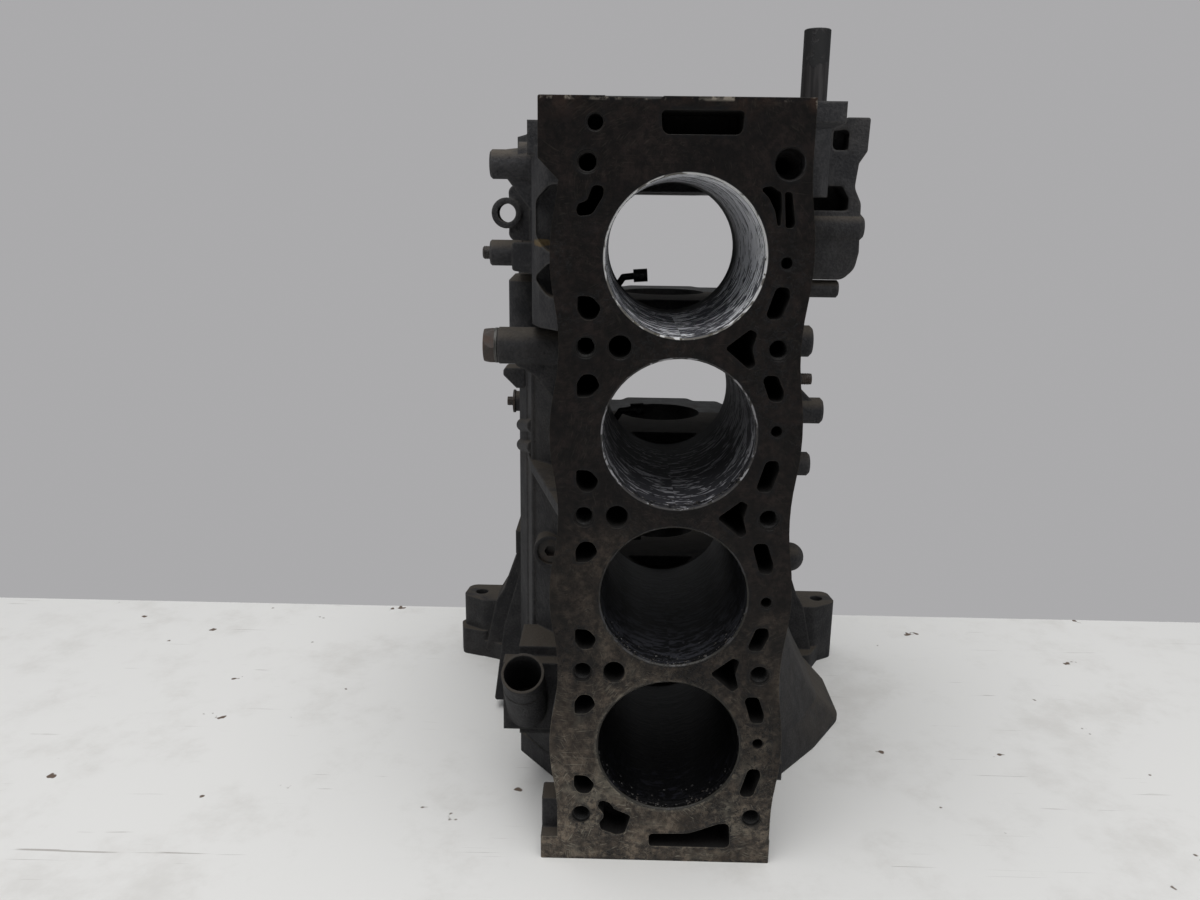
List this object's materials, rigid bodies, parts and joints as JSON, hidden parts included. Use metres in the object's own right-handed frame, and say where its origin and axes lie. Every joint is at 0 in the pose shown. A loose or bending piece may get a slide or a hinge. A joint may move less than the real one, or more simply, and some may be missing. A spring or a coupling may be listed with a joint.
{
  "type": "engine block",
  "caption": "Bare in-line engine block in cast iron with machined deck, fitted main bearing caps, coolant elbow and breather tube.",
  "frame": {"origin": "crankshaft axis at the gearbox face", "axes": "+Z along the crankshaft towards the timing end, deck facing -Y, breather tube side at +X"},
  "size_m": [0.3289, 0.309, 0.483],
  "materials": {
    "casting": "matt dark cast iron, machined deck stained brown, bores grey and scored",
    "cap_iron": "dark oily cast iron, machined faces",
    "bolt_steel": "dark phosphated steel",
    "jet_steel": "dark oil-stained steel",
    "tube_steel": "grey steel with worn dark paint at the top",
    "plug_steel": "dull steel with light rust",
    "washer_metal": "dull metal",
    "stud_steel": "dark steel",
    "core_steel": "dull pressed steel"
  },
  "bodies": {
    "root": {"block_casting": "casting", "main_cap_1": "cap_iron", "main_cap_2": "cap_iron", "main_cap_3": "cap_iron", "main_cap_4": "cap_iron", "main_cap_5": "cap_iron", "main_cap_bolts": "bolt_steel", "piston_jet_1": "jet_steel", "piston_jet_2": "jet_steel", "piston_jet_3": "jet_steel", "piston_jet_4": "jet_steel", "piston_jet_bolts": "bolt_steel", "breather_tube": "tube_steel", "oil_gallery_plug": "plug_steel", "oil_plug_washer": "washer_metal", "vent_screw": "plug_steel", "clip_stud": "stud_steel", "clip_washer": "washer_metal", "bracket_stud": "stud_steel", "side_gallery_plug": "plug_steel", "rear_gallery_plug": "plug_steel", "front_gallery_plug": "plug_steel", "core_plug_lower": "core_steel", "core_plug_middle": "core_steel", "core_plug_upper": "core_steel"}
  },
  "joints": []
}
